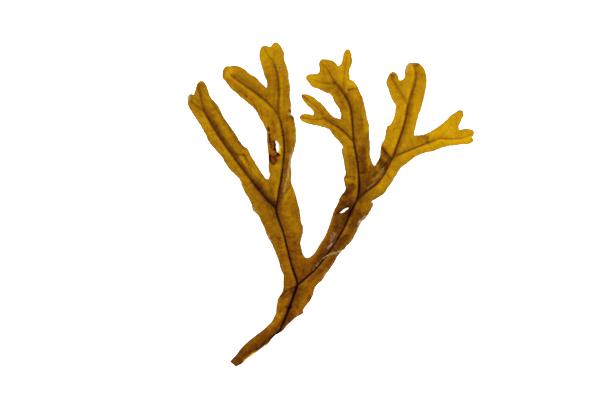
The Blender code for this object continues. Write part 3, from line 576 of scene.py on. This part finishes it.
class Value:
    """A number that varies over a surface, as a shader socket. Arithmetic on it adds Math nodes."""

    def __init__(self, finish, socket):
        self.finish = finish
        self.socket = socket

    def math(self, operation, *values):
        return self.finish.node("ShaderNodeMath", {"operation": operation}, dict(enumerate(values)))

    def __add__(self, other):
        return self.math("ADD", self, other)

    def __sub__(self, other):
        return self.math("SUBTRACT", self, other)

    def __rsub__(self, other):
        return self.math("SUBTRACT", other, self)

    def __mul__(self, other):
        return self.math("MULTIPLY", self, other)

    def __truediv__(self, other):
        return self.math("DIVIDE", self, other)

    def __rpow__(self, other):
        return self.math("POWER", other, self)

    __radd__ = __add__
    __rmul__ = __mul__


class Finish:
    """A material in the making. One method adds every node."""

    def __init__(self, name):
        self.material = bpy.data.materials.new(name)
        self.material.use_nodes = True
        self.tree = self.material.node_tree
        self.tree.nodes.clear()

    def node(self, kind, settings=(), sockets=(), output=0):
        """Adds a node with its settings and its sockets' values or links, and gives one of its outputs."""
        made = self.tree.nodes.new(kind)
        for name, value in dict(settings).items():
            setattr(made, name, value)
        for name, value in dict(sockets).items():
            if isinstance(value, Value):
                self.tree.links.new(value.socket, made.inputs[name])
            else:
                made.inputs[name].default_value = value
        return Value(self, made.outputs[output]) if made.outputs else made

    def attribute(self, name):
        """A number stored on the mesh."""
        return self.node("ShaderNodeAttribute", {"attribute_name": name}, output="Fac")

    def cloud(self, place, size, detail=3.0, roughness=0.55):
        """Soft noise from 0 to 1, with lumps of about the given size."""
        sockets = {"Vector": place, "Scale": 1 / size, "Detail": detail, "Roughness": roughness}
        return self.node("ShaderNodeTexNoise", (), sockets, output="Fac")

    def crooked_net(self, place, size):
        """The distance from the nearest line of a crooked net, as a share of the width of its meshes."""
        bent = self.node("ShaderNodeTexNoise", (), {"Vector": place, "Scale": 0.8 / size}, output="Color")
        bent = self.node("ShaderNodeVectorMath", {"operation": "SCALE"}, {0: bent, "Scale": 0.9 * size})
        bent = self.node("ShaderNodeVectorMath", {"operation": "ADD"}, {0: place, 1: bent})
        settings = {"feature": "DISTANCE_TO_EDGE"}
        return self.node("ShaderNodeTexVoronoi", settings, {"Vector": bent, "Scale": 1 / size})

    def stretch(self, place, factors):
        """A place with each of its coordinates made larger or smaller."""
        return self.node("ShaderNodeVectorMath", {"operation": "MULTIPLY"}, {0: place, 1: factors})

    def rise(self, value, low, high):
        """A smooth rise from 0 at low to 1 at high."""
        sockets = {"Value": value, "From Min": low, "From Max": high}
        return self.node("ShaderNodeMapRange", {"interpolation_type": "SMOOTHSTEP"}, sockets)

    def blend(self, share, first, second):
        """One colour going over into another as the share goes from 0 to 1."""
        sockets = {0: share, 6: first, 7: second}
        return self.node("ShaderNodeMix", {"data_type": "RGBA"}, sockets, output=2)


def bell(distance, width):
    """1 at no distance, falling away smoothly to nothing a few widths off."""
    ratio = distance / width
    return math.e ** (-1 * ratio * ratio) if isinstance(distance, Value) else np.exp(-ratio * ratio)


def ramp(value, low, high):
    """A smooth rise from 0 at low to 1 at high, on arrays."""
    t = np.clip((value - low) / (high - low), 0, 1)
    return t * t * (3 - 2 * t)


def smooth_line(points, step):
    """A smooth curve through the points, as points about a step apart."""
    knots = np.array(points, float)
    strides = np.diff(knots, axis=0)
    # the root keeps the curve from looping where two points lie close together
    spans = np.sqrt(np.linalg.norm(strides, axis=1))[:, None]
    slopes = strides / spans
    inner = (slopes[:-1] * spans[1:] + slopes[1:] * spans[:-1]) / (spans[:-1] + spans[1:])
    tangents = np.vstack([slopes[:1], inner, slopes[-1:]])
    t = np.linspace(0, 1, CURVE_POINTS)[:, None, None]
    curve = (1 + 2 * t) * (1 - t) ** 2 * knots[:-1] + t * t * (3 - 2 * t) * knots[1:]
    curve += t * (1 - t) ** 2 * spans * tangents[:-1] - t * t * (1 - t) * spans * tangents[1:]
    line = curve.transpose(1, 0, 2).reshape(-1, 2)
    travelled = np.concatenate([[0], np.cumsum(np.linalg.norm(np.diff(line, axis=0), axis=1))])
    stops = np.linspace(0, travelled[-1], max(2, round(travelled[-1] / step) + 1))
    return np.stack([np.interp(stops, travelled, line[:, axis]) for axis in (0, 1)], axis=1)


def between(ends, share):
    """The value a share of the way from the first of two to the second."""
    return ends[0] + share * (ends[1] - ends[0])


def along_stretch(plan, start, end):
    """How far along a straight stretch each place is, from 0 to 1, and its signed distance from it."""
    start = np.array(start, float)
    stride = np.array(end, float) - start
    part = np.clip((plan - start) @ stride / (stride @ stride), 0, 1)
    off = plan - start - part[:, None] * stride
    side = np.sign(stride[0] * off[:, 1] - stride[1] * off[:, 0])
    return part, np.linalg.norm(off, axis=1) * np.where(side == 0, 1, side)


def midrib_fields(plan):
    """Where each place lies by the midribs, how dark the nearest midrib and the blade are there, and the
    painted shade and painted highlight beside the midribs.
    """
    fields = {name: np.zeros(len(plan)) for name in ("across", "along", "line", "width", "painted_shade", "painted_highlight")}
    nearest = np.full(len(plan), np.inf)
    blade = np.zeros(len(plan))
    weight = np.zeros(len(plan))
    for points, line_depth, half_width, painted_shade_depth, blade_depth, lean in MIDRIBS:
        line = smooth_line(points, MIDRIB_STEP)
        share = np.zeros(len(plan))
        signed = np.full(len(plan), np.inf)
        for i in range(len(line) - 1):
            part, off = along_stretch(plan, line[i], line[i + 1])
            here = (i + part) / (len(line) - 1)
            closer = np.abs(off) < np.abs(signed)
            share = np.where(closer, here, share)
            signed = np.where(closer, off, signed)
            pull = 1 / (off * off + BLADE_BLEND) ** 2
            blade += pull * between(blade_depth, here)
            weight += pull
        away = np.abs(signed)
        values = {
            "across": signed,
            "along": points[0][1] + share * len(line) * MIDRIB_STEP,
            "line": between(line_depth, share),
            "width": between(half_width, share)}
        for name, value in values.items():
            fields[name] = np.where(away < nearest, value, fields[name])
        nearest = np.minimum(nearest, away)
        # painted shade: a soft dark band beside the midrib that ends sooner on its bare side
        bare = signed * lean < 0
        painted_shade = between(painted_shade_depth, share) * bell(away * np.where(bare, PAINTED_SHADE_CRISPNESS, 1), PAINTED_SHADE_HALF_WIDTH)
        # painted highlight: a lighter strip a little way off the midrib on its bare side
        painted_highlight = PAINTED_HIGHLIGHT_DEPTH * bare * bell(away - PAINTED_HIGHLIGHT_PLACE, PAINTED_HIGHLIGHT_HALF_WIDTH)
        fields["painted_shade"] = np.maximum(fields["painted_shade"], painted_shade)
        fields["painted_highlight"] = np.maximum(fields["painted_highlight"], painted_highlight)
    return nearest, fields, blade / weight


def waver(plan, length, layer):
    """Smooth noise from about -1 to 1 over the plan, with waves of the given length."""
    return np.array([noise.noise(Vector((x, y, layer))) for x, y in plan / length])


def mark(plan, ragged, start, end, width):
    """One mark from 0 to 1: a stretch with a flat middle and a soft edge, made ragged by a little noise."""
    away = np.abs(along_stretch(plan, start, end)[1]) * ragged
    return np.exp(-(away / width) ** MARK_SHARPNESS)


def marks(plan, rows, ragged):
    """The sum of the marks laid over the plan."""
    total = np.zeros(len(plan))
    for start, end, width, strength in rows:
        total += strength * mark(plan, ragged, start, end, width)
    return total


def solid_copy():
    """The solid's mesh, merged, with triangles joined in pairs and creased rims, and where those rims lie."""
    copy = bmesh.new()
    copy.from_mesh(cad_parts["thallus"].data)
    bmesh.ops.remove_doubles(copy, verts=copy.verts, dist=SAME_POINT)
    copy.normal_update()
    crease = copy.edges.layers.float.new("crease_edge")
    rims = [edge for edge in copy.edges if edge.calc_face_angle(0) > RIM_ANGLE]
    places = [(edge.verts[0].co.copy(), edge.verts[1].co.copy()) for edge in rims]
    for edge in rims:
        edge[crease] = RIM_CREASE
    bmesh.ops.join_triangles(
        copy, faces=copy.faces, angle_face_threshold=PAIR_BEND, angle_shape_threshold=PAIR_SKEW)
    return copy, places


def margin_tree(places):
    """A search tree of points along the rims."""
    tree = kdtree.KDTree(len(places) * len(RIM_SHARES))
    for i, (start, end) in enumerate(places):
        for j, share in enumerate(RIM_SHARES):
            tree.insert(start.lerp(end, share), i * len(RIM_SHARES) + j)
    tree.balance()
    return tree


def refined(copy):
    """The copied mesh as an object, smoothed and split finer."""
    mesh = bpy.data.meshes.new("coarse")
    copy.to_mesh(mesh)
    copy.free()
    coarse = bpy.data.objects.new("coarse", mesh)
    bpy.context.scene.collection.objects.link(coarse)
    rounding = coarse.modifiers.new("rounding", "SUBSURF")
    rounding.levels = FINE_LEVELS
    rounding.render_levels = FINE_LEVELS
    fine = bpy.data.meshes.new_from_object(coarse.evaluated_get(bpy.context.evaluated_depsgraph_get()))
    bpy.data.objects.remove(coarse)
    blade = bpy.data.objects.new("blade", fine)
    bpy.context.scene.collection.objects.link(blade)
    return blade


def set_attribute(mesh, name, values):
    """Stores one number for each point of the mesh."""
    mesh.attributes.new(name, "FLOAT", "POINT").data.foreach_set("value", values.astype(np.float32))


def resting(plan):
    """1 where the blade lies on the surface, falling to 0 where it is clear of it."""
    result = np.zeros(len(plan))
    for spot in REST_SPOTS:
        result = np.maximum(result, 1 - ramp(np.linalg.norm(plan - spot, axis=1), REST_FLAT, REST_FREE))
    return result


def beyond_fold(plan):
    """How far each place is past the start of the fold, along the fold's axis."""
    start = np.array(FOLD_START)
    stride = np.array(FOLD_END) - start
    return (plan - start) @ (stride / np.linalg.norm(stride))


def outline_shifts(plan, margin):
    """How far each place moves sideways, in metres: the nudges, and the wear along the margins."""
    shifts = np.zeros((len(plan), 2))
    for spot, shift, reach in NUDGES:
        shifts += bell(np.linalg.norm(plan - spot, axis=1), reach)[:, None] * np.array(shift) * MM
    nibble = NIBBLE * (1 - ramp(margin, 0, NIBBLE_REACH)) * MM
    for axis, layer in enumerate(NIBBLE_LAYERS):
        shifts[:, axis] += nibble * waver(plan, NIBBLE_LENGTH, layer)
    return shifts


def shape_blade(blade, tree):
    """Frills, wrinkles and thins the blade, rounds its midribs, and stores what its finish needs."""
    mesh = blade.data
    places = np.empty(len(mesh.vertices) * 3)
    mesh.vertices.foreach_get("co", places)
    places = places.reshape(-1, 3)
    uprights = np.array([vertex.normal[2] for vertex in mesh.vertices])
    plan = (places[:, :2] - DRAWING_ZERO) / UNIT
    margin = np.array([tree.find(place)[2] for place in places]) / MM

    past_fold = beyond_fold(plan)
    under = (past_fold > 0) & (places[:, 2] < FOLDED_WING_TOP)
    nearest, midrib, blade_depth = midrib_fields(plan)
    line = np.where(under, 0, midrib["line"])
    free = (1 - resting(plan)) * (1 - ramp(past_fold, *FRILL_ENDS))
    ragged = 1 + RAGGEDNESS * waver(plan, RAGGED_LENGTH, RAGGED_LAYER)

    upper = ramp(uprights, 0, FACE_UPRIGHT)
    lower = ramp(-uprights, 0, FACE_UPRIGHT)
    frill = FRILL_HEIGHT * np.abs(waver(plan, FRILL_LENGTH, FRILL_LAYER))
    rise = free * frill * (1 - ramp(margin, 0, FRILL_REACH))
    rise += free * WRINKLE_HEIGHT * waver(plan, WRINKLE_LENGTH, WRINKLE_LAYER)
    crest = CREST_HEIGHT * np.minimum(line, 1) * bell(nearest, CREST_HALF_WIDTH)
    rise += upper * crest - lower * free * crest * UNDER_CREST
    thinning = MARGIN_THINNING * (1 - ramp(margin, 0, MARGIN_THINNING_WIDTH))
    rise += thinning * (lower * free - upper)
    # the creases stand up a little; their pale flecks are painted highlights on the creases and margins, and
    # scuffs
    pale = np.zeros(len(plan))
    for begin, end, width, high, paleness in CREASES:
        crease = mark(plan, ragged, begin, end, width)
        rise += upper * high * crease
        pale += upper * paleness * crease
    places[:, 2] = np.maximum(places[:, 2] + rise * MM, 0)
    places[:, :2] += outline_shifts(plan, margin)
    mesh.vertices.foreach_set("co", places.ravel())
    mesh.update()

    facing = ramp(np.abs(uprights), *MARKS_FADE)
    # the blade's darkness takes in the painted shade and painted highlight beside the midribs, and marks that
    # are partly painted shade in creases and along the fold
    blade_depth += midrib["painted_shade"] - midrib["painted_highlight"] + facing * marks(plan, SHADES, ragged)
    set_attribute(mesh, "blade_depth", blade_depth)
    set_attribute(mesh, "from_midrib", nearest)
    set_attribute(mesh, "midrib_line", line)
    set_attribute(mesh, "midrib_width", midrib["width"])
    set_attribute(mesh, "from_margin", margin)
    set_attribute(mesh, "rust", marks(plan, RUSTS, ragged))
    set_attribute(mesh, "pale", pale)
    grain = mesh.attributes.new("grain", "FLOAT_VECTOR", "POINT")
    grain.data.foreach_set("vector", np.column_stack([midrib["across"], midrib["along"], margin * 0]).ravel())
    mesh.shade_smooth()


def midrib_line(finish, grain, streak, grit):
    """The optical depth of the thin dark line in the middle of each midrib."""
    across = finish.node("ShaderNodeSeparateXYZ", (), {"Vector": grain}, output="X")
    near = 1 - finish.rise(finish.attribute("from_midrib"), *LINE_ENDS)
    line = near * bell(across, finish.attribute("midrib_width"))
    return finish.attribute("midrib_line") * line * (1 + 0.5 * streak + 0.5 * grit)


def light_colour(finish, place, depth, rust, patches):
    """The colour of the light that gets through a depth of blade, redder in old and in dead places."""
    red = math.e ** (-1 * depth)
    height = finish.node("ShaderNodeSeparateXYZ", (), {"Vector": place}, output="Y")
    old = finish.rise(height, OLD_FROM, OLD_DOWN_TO) * (0.7 + 0.6 * patches)
    tint = 1 + TINT_VARIETY * (finish.cloud(place, TINT_SIZE, 3.0, 0.7) - 0.5)
    green = GREEN_SHARE * tint * (1 - OLD_REDNESS * old) * (1 - RUST_REDNESS * rust)
    green = green * math.e ** (-GREEN_LOSS * depth)
    return finish.node("ShaderNodeCombineColor", (), {
        "Red": BRIGHTNESS * red, "Green": BRIGHTNESS * green, "Blue": BLUE})


def thallus_finish():
    """Wet seaweed: a see-through brown that darkens with its depth, with dark midribs and fine grain."""
    finish = Finish("wet_thallus")
    place = finish.node("ShaderNodeTexCoord", output="Object")
    grain = finish.node("ShaderNodeAttribute", {"attribute_name": "grain"}, output="Vector")
    from_margin = finish.attribute("from_margin")

    mottle = finish.cloud(place, MOTTLE_SIZE, 4.0, 0.62) - 0.5
    wrinkle = finish.cloud(finish.stretch(grain, WRINKLE_STRETCH), WRINKLE_SPACING, 2.0) - 0.5
    streak = finish.cloud(finish.stretch(grain, STREAK_STRETCH), STREAK_SPACING) - 0.5
    grit = finish.cloud(place, GRIT_SIZE, 2.0) - 0.5
    patches = finish.rise(finish.cloud(place, PATCH_SIZE, 3.0, 0.6), *PATCH_LEVELS) - 0.3
    net = bell(finish.crooked_net(place, NET_SIZE), NET_LINE) * finish.rise(mottle, *NET_LEVELS)
    specks = finish.rise(finish.cloud(place, SPECK_SIZE, 0.0), *SPECK_LEVELS)
    rust = finish.attribute("rust") * finish.rise(finish.cloud(place, RUST_SIZE), *RUST_LEVELS)

    # each pattern darkens and lightens the blade by a share of its own darkness
    # the stored darkness includes painted shade beside the midribs, in creases and along the fold, and
    # painted highlights
    depth = finish.attribute("blade_depth")
    depth = depth * (1 + 0.75 * mottle + 0.5 * streak + 0.4 * wrinkle + 0.5 * grit + 0.2 * patches)
    depth = depth + NET_DEPTH * net
    depth = depth + EDGE_DEPTH * bell(from_margin, EDGE_WIDTH)
    depth = depth + SPECK_DEPTH * specks * bell(from_margin, SPECK_REACH)
    depth = depth + midrib_line(finish, grain, streak, grit)
    depth = depth + RUST_DEPTH * rust
    colour = light_colour(finish, place, depth, rust, patches)
    # pale flecks: painted highlights on the creases and turned margins, and scuffs
    pale = finish.attribute("pale")
    flecks = finish.rise(finish.cloud(place, PALE_SIZE) + 0.3 * pale, *PALE_LEVELS)
    colour = finish.blend(pale * flecks, colour, HIGHLIGHT_AND_SCUFF_COLOUR)

    relief = 0.5 * streak + 0.4 * wrinkle + 0.35 * grit
    bump = finish.node("ShaderNodeBump", (), {
        "Strength": RELIEF_STRENGTH, "Distance": RELIEF_HEIGHT, "Height": relief})
    roughness = ROUGHNESS + 0.2 * mottle + 0.12 * grit
    skin = finish.node("ShaderNodeBsdfPrincipled", (), {
        "Base Color": colour, "Roughness": roughness, "Normal": bump, "Specular IOR Level": GLOSS})
    finish.node("ShaderNodeOutputMaterial", (), {"Surface": skin})
    return finish.material


def floor():
    """A plain pale floor under the sprig, faintly lit from below like the photo's surface."""
    sheet = bmesh.new()
    bmesh.ops.create_grid(sheet, x_segments=1, y_segments=1, size=FLOOR_SIZE)
    mesh = bpy.data.meshes.new("floor")
    sheet.to_mesh(mesh)
    sheet.free()
    ground = bpy.data.objects.new("floor", mesh)
    bpy.context.scene.collection.objects.link(ground)
    finish = Finish("pale_floor")
    skin = finish.node("ShaderNodeBsdfPrincipled", (), {
        "Base Color": (FLOOR_GREY, FLOOR_GREY, FLOOR_GREY, 1), "Roughness": FLOOR_ROUGHNESS,
        "Specular IOR Level": FLOOR_GLOSS, "Emission Color": (1, 1, 1, 1), "Emission Strength": FLOOR_GLOW})
    finish.node("ShaderNodeOutputMaterial", (), {"Surface": skin})
    mesh.materials.append(finish.material)


def lights():
    """Large soft lamps round the sprig, and a soft even light from all sides."""
    for i in range(LAMPS):
        turn = math.tau * (i + 0.5) / LAMPS
        lamp = bpy.data.lights.new(f"soft_lamp_{i}", "AREA")
        lamp.size = LAMP_WIDTH
        lamp.energy = LAMP_POWER
        holder = bpy.data.objects.new(f"soft_lamp_{i}", lamp)
        holder.location = Vector((math.cos(turn), math.sin(turn), 1)) * LAMP_DISTANCE
        holder.rotation_euler = (-holder.location).to_track_quat("-Z", "Y").to_euler()
        bpy.context.scene.collection.objects.link(holder)
    world = bpy.data.worlds.new("soft_room")
    world.use_nodes = True
    background = world.node_tree.nodes["Background"]
    background.inputs["Color"].default_value = (1, 1, 1, 1)
    background.inputs["Strength"].default_value = ROOM_LIGHT
    bpy.context.scene.world = world


def camera():
    """Looks straight down, with the photo's scale and framing."""
    lens = bpy.data.cameras.new("camera")
    lens.sensor_width = SENSOR_WIDTH
    lens.lens = SENSOR_WIDTH * CAMERA_HEIGHT / (PHOTO_WIDTH * PIXEL)
    holder = bpy.data.objects.new("camera", lens)
    holder.location = (*VIEW_MIDDLE, CAMERA_HEIGHT)
    bpy.context.scene.collection.objects.link(holder)
    bpy.context.scene.camera = holder


copied, rim_places = solid_copy()
sprig = refined(copied)
shape_blade(sprig, margin_tree(rim_places))
sprig.data.materials.clear()
sprig.data.materials.append(thallus_finish())
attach(sprig, "root")
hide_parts("thallus")

floor()
lights()
camera()
bpy.context.scene.view_settings.view_transform = "Standard"
